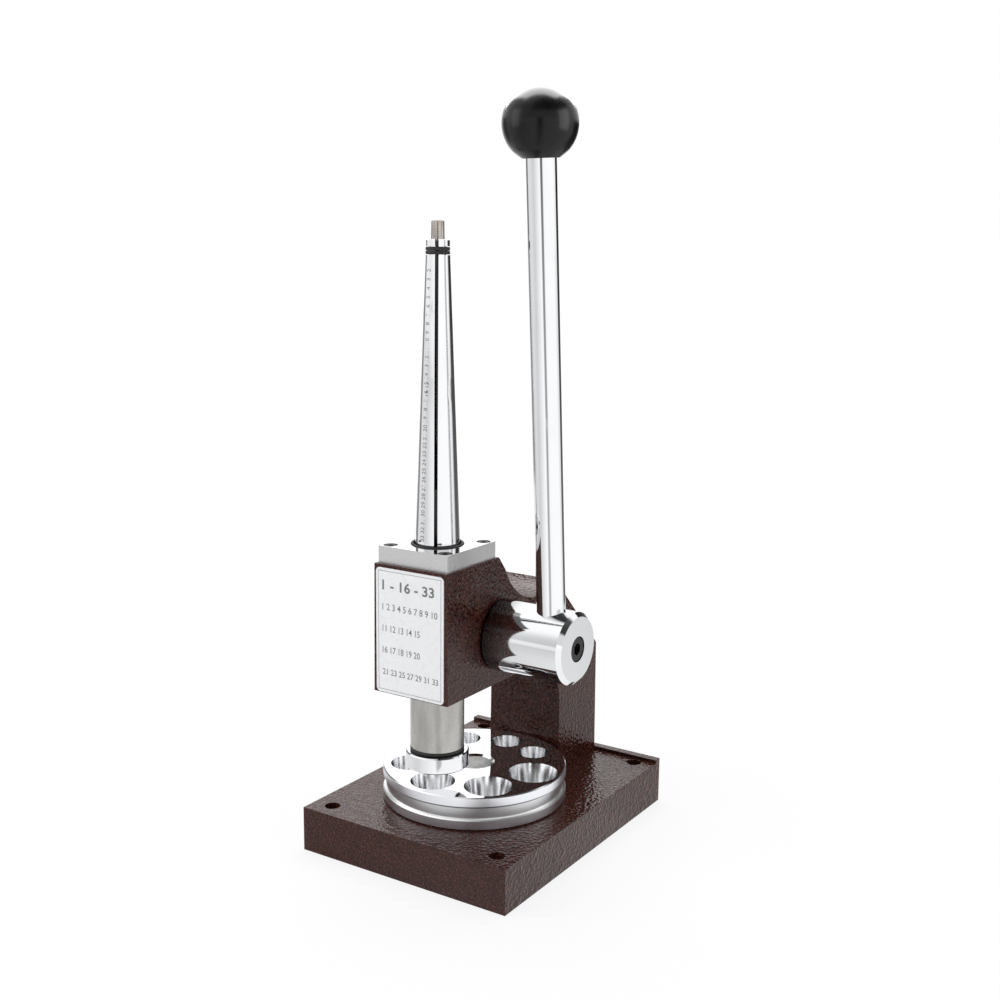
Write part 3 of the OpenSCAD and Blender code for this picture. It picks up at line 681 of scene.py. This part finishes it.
# Spins an outline of radii and heights round the Z axis and puts the piece in its place
def spinPiece(name, outline, closed, steps, place, mat):
    work = bmesh.new()
    line = [work.verts.new((r, 0, z)) for r, z in outline]
    ends = line[1:] + line[:1] if closed else line[1:]
    edges = [work.edges.new(pair) for pair in zip(line, ends)]
    bmesh.ops.spin(work, geom=line + edges, cent=(0, 0, 0), axis=(0, 0, 1), angle=2 * math.pi, steps=steps)
    bmesh.ops.remove_doubles(work, verts=work.verts, dist=spinWeld)
    bmesh.ops.recalc_face_normals(work, faces=work.faces)
    for face in work.faces:
        face.smooth = True
    mesh = meshFrom(work, name)
    mesh.set_sharp_from_angle(angle=spinSharp)
    mesh.transform(place)
    mesh.materials.append(mat)
    return addObject(name, mesh)


def turnKnob(shape, mat):
    low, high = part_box("ball_knob")
    radius = (high.x - low.x) / 2
    centre = Vector(((low.x + high.x) / 2, high.y - radius, high.z - radius))
    last, arc = math.acos(shape["coneStart"] / radius), shape["arcSteps"]
    turns = [last * k / arc for k in range(arc + 1)]
    outline = [(radius * math.sin(a), radius * math.cos(a)) for a in turns]
    outline += [shape["foot"], (shape["bore"], shape["foot"][1]), (shape["bore"], shape["coneStart"])]
    place = Matrix.Translation(centre) @ Matrix.Rotation(math.radians(shape["lean"]), 4, "X")
    piece = spinPiece("knobBall", outline, False, shape["steps"], place, mat)
    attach(piece, "lever")
    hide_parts("ball_knob")


turnKnob(knobShape, knobPlastic)

# The rubber ring round the mandrel's foot: its width, how far it stands above the square plate and sinks below
footRingShape = {"thick": 1.56 * mm, "stand": 0.72 * mm, "sink": 1.2 * mm, "corners": 12, "steps": 96}


def turnFootRing(shape, mat):
    low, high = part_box("foot_ring")
    half = shape["thick"] / 2
    middle = (high.x - low.x) / 2 - half
    turns = [math.pi * k / shape["corners"] for k in range(shape["corners"] + 1)]
    outline = [(middle + half * math.cos(a), shape["stand"] * math.sin(a)) for a in turns]
    outline += [(middle - half, -shape["sink"]), (middle + half, -shape["sink"])]
    place = Matrix.Translation(((low.x + high.x) / 2, (low.y + high.y) / 2, squareHigh.z))
    piece = spinPiece("footRing", outline, True, shape["steps"], place, mat)
    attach(piece, "stand")
    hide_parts("foot_ring")


turnFootRing(footRingShape, rubber)
print("knob and foot ring turned")

# Sizes engraved up the front leaf, read along it; foot and top: a height and the taper's radius there
flangeStep = 3.3 * mm  # from the rim of the leaf's foot flange in to its taper
sizeScale = {
    "first": 1,
    "last": 33,
    "foot": (squareHigh.z, mandrelAxis[1] - leafLow.y - flangeStep),
    "top": (leafHigh.z - 7.8 * mm, 6.2 * mm),
    "margin": (4.2 * mm, 3.2 * mm),
    "azimuth": -7.0,
    "height": 2.5 * mm,
    "proud": 0.015 * mm,
    "axis": mandrelAxis,
}
# Plain numbers on the white plate: text, height, width, distance from the left edge and the top, boldness
labelPrint = {
    "rows": [
        ("1 - 16 - 33", 5.2 * mm, 33.0 * mm, 4.2 * mm, 9.2 * mm, 0.16 * mm),
        ("1 2 3 4 5 6 7 8 9 10", 3.5 * mm, 35.0 * mm, 4.2 * mm, 20.7 * mm, 0.04 * mm),
        ("11 12 13 14 15", 3.5 * mm, 24.0 * mm, 4.2 * mm, 32.2 * mm, 0.04 * mm),
        ("16 17 18 19 20", 3.5 * mm, 24.0 * mm, 4.2 * mm, 43.7 * mm, 0.04 * mm),
        ("21 23 25 27 29 31 33", 3.2 * mm, 35.5 * mm, 4.2 * mm, 55.6 * mm, 0.04 * mm),
    ],
    "corner": (labelLow.x, labelLow.y, labelHigh.z),
    "proud": 0.012 * mm,
}
figureRatio = 1.4  # the letter size that gives figures one unit high


# A flat mesh of the text in the XY plane, its figures as high as asked and, where a width is given, as wide
def writeNumber(text, height, along="CENTER", width=None, bold=0.0):
    curve = bpy.data.curves.new("number", "FONT")
    curve.body = text
    curve.size = height * figureRatio
    curve.align_x = along
    curve.align_y = "CENTER"
    curve.resolution_u = 3
    curve.offset = bold
    holder = addObject("number", curve)
    bpy.context.view_layer.update()
    shape = bpy.data.meshes.new_from_object(holder.evaluated_get(bpy.context.evaluated_depsgraph_get()))
    if width is not None:
        first, last = (pick(vert.co.x for vert in shape.vertices) for pick in (min, max))
        for vert in shape.vertices:
            vert.co.x = (vert.co.x - first) * width / (last - first)
    bpy.data.objects.remove(holder)
    bpy.data.curves.remove(curve)
    return shape


def inkPiece(name, shapes, body):
    work = bmesh.new()
    for shape in shapes:
        work.from_mesh(shape)
        bpy.data.meshes.remove(shape)
    mesh = meshFrom(work, name)
    mesh.materials.append(ink)
    piece = addObject(name, mesh)
    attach(piece, body)


def engraveSizes(s):
    footZ, footR = s["foot"]
    topZ, topR = s["top"]
    count = s["last"] - s["first"] + 1
    lowZ, highZ = footZ + s["margin"][0], topZ - s["margin"][1]
    shapes = []
    for k in range(count):
        shape = writeNumber(str(s["first"] + k), s["height"])
        level = highZ - (highZ - lowZ) * k / (count - 1)
        for vert in shape.vertices:
            along, across, _ = vert.co
            z = level + along
            radius = footR + (topR - footR) * (z - footZ) / (topZ - footZ) + s["proud"]
            angle = math.radians(s["azimuth"]) - across / radius
            vert.co = (s["axis"][0] + radius * math.sin(angle), s["axis"][1] - radius * math.cos(angle), z)
        shapes.append(shape)
    inkPiece("engravedSizes", shapes, "leaf_front")


def printLabel(s):
    left, front, top = s["corner"]
    shapes = []
    for text, height, width, inset, down, bold in s["rows"]:
        shape = writeNumber(text, height, "LEFT", width, bold)
        for vert in shape.vertices:
            across, rise, _ = vert.co
            vert.co = (left + inset + across, front - s["proud"], top - down + rise)
        shapes.append(shape)
    inkPiece("labelNumbers", shapes, "stand")


engraveSizes(sizeScale)
printLabel(labelPrint)
print("numbers placed")

# Floor and pale room. around: the room's level in reflections, by turn in degrees from the camera's side;
# aboveFloor: how much of that level stays, and what is added at the floor and higher up;
# darkBands: turn, how squarely it has to be faced, heights, and the level left there
studio = {
    "floorRadius": 30,
    "floorSides": 96,
    "floorDrop": 0.05 * mm,
    "floorWhite": 0.86,
    "floorRoughness": 0.9,
    "floorGlow": 0.80,
    "glowLevel": 1.03,
    "shadowReach": (0.16, 0.50),
    "ambient": 0.42,
    "ambientTone": (0.97, 0.985, 1.0, 1),
    "backdrop": 1.0,
    "around": [(-180, 1.0), (-150, 1.0), (-112, 0.84), (-90, 0.86), (-62, 0.74), (-38, 0.96), (-12, 1.18),
               (8, 1.12), (30, 1.16), (86, 1.16), (98, 0.95), (114, 0.76), (136, 0.72), (158, 1.0), (180, 1.0)],
    "aboveFloor": (0.55, 0.58, 0.80),
    "aboveBand": (0.0, 0.3),
    "darkBands": [(0, (0.10, 0.50), (0.10, 0.24), 0.60), (35, (0.15, 0.45), (0.46, 0.58), 0.06)],
}


# A level way, turned from the camera's side by degrees, with its length and a height
def polar(v, turn, far, z=0.0):
    side = math.radians(v["azimuth"] + turn)
    return Vector((math.sin(side) * far, -math.cos(side) * far, z))


# How far a point or direction lies towards a turn from the camera's side
def facing(tree, point, v, turn):
    along = addNode(tree, "VectorMath", operation="DOT_PRODUCT")
    along.inputs[1].default_value = polar(v, turn, 1)
    link(tree, point, along.inputs[0])
    return along.outputs["Value"]


# The angle of a point or direction from a turn, in radians
def angleFrom(tree, point, v, turn):
    return calc(tree, "ARCTAN2", facing(tree, point, v, turn + 90), facing(tree, point, v, turn))


def roomLevel(tree, point, s, v):
    share = add(tree, calc(tree, "DIVIDE", angleFrom(tree, point, v, 0), 2 * math.pi), 0.5)
    return ramp(tree, share, [(turn / 360 + 0.5, grey(level)) for turn, level in s["around"]])


# Shares of the rays that come from the camera, and that come off or through a shiny face
def rayShares(tree):
    rays = addNode(tree, "LightPath").outputs
    mirrored = calc(tree, "MAXIMUM", rays["Is Glossy Ray"], rays["Is Transmission Ray"])
    return rays["Is Camera Ray"], mirrored


def makeFloor(s, v):
    work = bmesh.new()
    bmesh.ops.create_circle(work, cap_ends=True, segments=s["floorSides"], radius=s["floorRadius"])
    mesh = meshFrom(work, "paleFloor")
    floor = addObject("paleFloor", mesh)
    floor.location = (0, 0, -s["floorDrop"])
    mat, tree, shader = startMaterial("paleFloorPaper")
    shader.inputs["Base Color"].default_value = (*grey(s["floorWhite"]), 1)
    shader.inputs["Roughness"].default_value = s["floorRoughness"]
    shader.inputs["Specular IOR Level"].default_value = 0.0
    point = objectPoint(tree)
    x, y, _ = axes(tree, point)
    share = smoothStep(tree, fromAxis(tree, x, y), *s["shadowReach"], s["floorGlow"], 1.0)
    direct, mirrored = rayShares(tree)
    seen = calc(tree, "MAXIMUM", direct, mirrored)
    fade = opposite(tree, multiply(tree, mirrored, opposite(tree, roomLevel(tree, point, s, v))))
    glow = addNode(tree, "Emission", {"Color": pureWhite})
    link(tree, multiply(tree, fade, s["glowLevel"]), glow.inputs["Strength"])
    setSurface(tree, mixShaders(tree, multiply(tree, share, seen), shader.outputs[0], glow.outputs[0]))
    mesh.materials.append(mat)


def makeSurroundings(s, v):
    world = bpy.data.worlds.new("paleRoom")
    bpy.context.scene.world = world
    world.use_nodes = True
    tree = world.node_tree
    for old in list(tree.nodes):
        tree.nodes.remove(old)
    way = addNode(tree, "TexCoord").outputs["Generated"]
    rise = axes(tree, way)["Z"]
    keep, lift, topLift = s["aboveFloor"]
    level = multiply(tree, roomLevel(tree, way, s, v), keep)
    level = add(tree, level, smoothStep(tree, rise, *s["aboveBand"], lift, topLift))
    for turn, faced, heights, left in s["darkBands"]:
        towards = smoothStep(tree, facing(tree, way, v, turn), *faced)
        share = multiply(tree, towards, smoothStep(tree, rise, *heights))
        level = multiply(tree, level, smoothStep(tree, share, 0.0, 1.0, 1.0, left))
    direct, mirrored = rayShares(tree)
    soft = addNode(tree, "Background", {"Color": s["ambientTone"], "Strength": s["ambient"]})
    mirror = addNode(tree, "Background", {"Color": pureWhite})
    link(tree, level, mirror.inputs["Strength"])
    plain = addNode(tree, "Background", {"Color": pureWhite, "Strength": s["backdrop"]})
    result = mixShaders(tree, mirrored, soft.outputs[0], mirror.outputs[0])
    result = mixShaders(tree, direct, result, plain.outputs[0])
    link(tree, result, addNode(tree, "OutputWorld").inputs["Surface"])


# Soft lamps: turn from the camera's side, height angle, distance, width, height, level, in reflections, pieces lit
lamps = {
    "overheadBox": (180, 66, 1.35, 1.5, 0.9, 2.7, False, None),
    "leftPanel": (-80, 26, 1.2, 0.60, 0.8, 2.8, False, None),
    "rightPanel": (66, 26, 1.2, 0.45, 0.7, 1.9, False, None),
    "rearRightPanel": (108, 14, 1.2, 0.5, 0.5, 1.8, False, None),
    "frontPanel": (-36, 44, 1.5, 0.9, 0.5, 2.15, False, None),
    "knobBox": (180, 62, 1.5, 2.0, 2.2, 13.0, True, ["knobBall"]),
    "knobRight": (72, 16, 1.2, 0.7, 0.9, 2.6, True, ["knobBall"]),
    "knobLeft": (-78, 20, 1.2, 0.6, 0.8, 1.4, True, ["knobBall"]),
    "paintBox": (180, 58, 1.5, 1.0, 1.4, 4.0, True, ["frameCasting", "basePlateCasting"]),
}
lampAim = Vector((0, -0.02, 0.17))
# Upright cards that only reflections see: turn, distance, half width in degrees, soft share of it, low, high, shades
cards = {
    "cardBehindCamera": (-1.0, 1.0, 10.0, 0.55, 0.0, 0.55, (0.42, 0.01)),
    "cardRight": (130, 0.55, 33, 0.5, 0.0, 0.45, (0.14, 0.01)),
    "cardLeft": (-130, 0.9, 20, 0.5, 0.0, 0.55, (0.30, 0.20)),
}
cardSteps = 12
# A soft dark strip on the floor towards the camera: turn, near, far, half width in degrees, soft share, shades
floorStrip = (-1.0, 0.20, 1.0, 10.0, 0.75, (0.55, 0.42))
stripHeight = 0.3 * mm


def placeLamps(plan, v):
    for name, (turn, height, far, wide, tall, level, mirrored, lit) in plan.items():
        rise = math.radians(height)
        away = polar(v, turn, math.cos(rise), math.sin(rise))
        data = bpy.data.lights.new(name, "AREA")
        data.shape = "RECTANGLE"
        data.size, data.size_y = wide, tall
        data.energy = level * math.pi * wide * tall
        lamp = addObject(name, data)
        lamp.location = lampAim + away * far
        lamp.rotation_mode = "QUATERNION"
        lamp.rotation_quaternion = (-away).to_track_quat("-Z", "Y")
        lamp.visible_camera = False
        lamp.visible_glossy = mirrored
        if lit is not None:
            data.use_shadow = False
            lamp.visible_diffuse = False
            group = bpy.data.collections.new(name)
            for piece in lit:
                group.objects.link(bpy.data.objects[piece])
            lamp.light_linking.receiver_collection = group


# A strip of faces between pairs of points that only reflections see; its glow is left to be set
def placeCard(name, rows):
    work = bmesh.new()
    pairs = [[work.verts.new(spot) for spot in row] for row in rows]
    for (a, b), (c, d) in zip(pairs, pairs[1:]):
        work.faces.new((a, c, d, b))
    mesh = meshFrom(work, name)
    card = addObject(name, mesh)
    mat, tree, _ = startMaterial(name)
    glow = addNode(tree, "Emission", {"Color": pureWhite})
    setSurface(tree, glow.outputs[0])
    mesh.materials.append(mat)
    for kind in ("camera", "diffuse", "shadow", "transmission"):
        setattr(card, "visible_" + kind, False)
    return tree, glow.inputs["Strength"]


# A dark card's shade, rising to the room's white at its soft sides
def softSides(tree, point, v, turn, half, soft, shade):
    off = calc(tree, "ABSOLUTE", angleFrom(tree, point, v, turn))
    edge = smoothStep(tree, off, math.radians(half * (1 - soft)), math.radians(half))
    return add(tree, shade, multiply(tree, edge, opposite(tree, shade)))


def placeCards(plan, v):
    for name, (turn, far, half, soft, low, high, shades) in plan.items():
        turns = [turn - half + 2 * half * k / cardSteps for k in range(cardSteps + 1)]
        tree, strength = placeCard(name, [(polar(v, t, far, low), polar(v, t, far, high)) for t in turns])
        point = objectPoint(tree)
        shade = smoothStep(tree, axes(tree, point)["Z"], low, high, *shades)
        link(tree, softSides(tree, point, v, turn, half, soft, shade), strength)


def placeFloorStrip(plan, v):
    turn, near, far, half, soft, shades = plan
    rows = [[polar(v, t, r, stripHeight) for t in (turn - half, turn + half)] for r in (near, far)]
    tree, strength = placeCard("floorStrip", rows)
    point = objectPoint(tree)
    shade = smoothStep(tree, facing(tree, point, v, turn), near, far, *shades)
    link(tree, softSides(tree, point, v, turn, half, soft, shade), strength)


makeFloor(studio, viewpoint)
makeSurroundings(studio, viewpoint)
placeLamps(lamps, viewpoint)
placeCards(cards, viewpoint)
placeFloorStrip(floorStrip, viewpoint)
bpy.context.scene.view_settings.view_transform = "Standard"
print("studio lit")
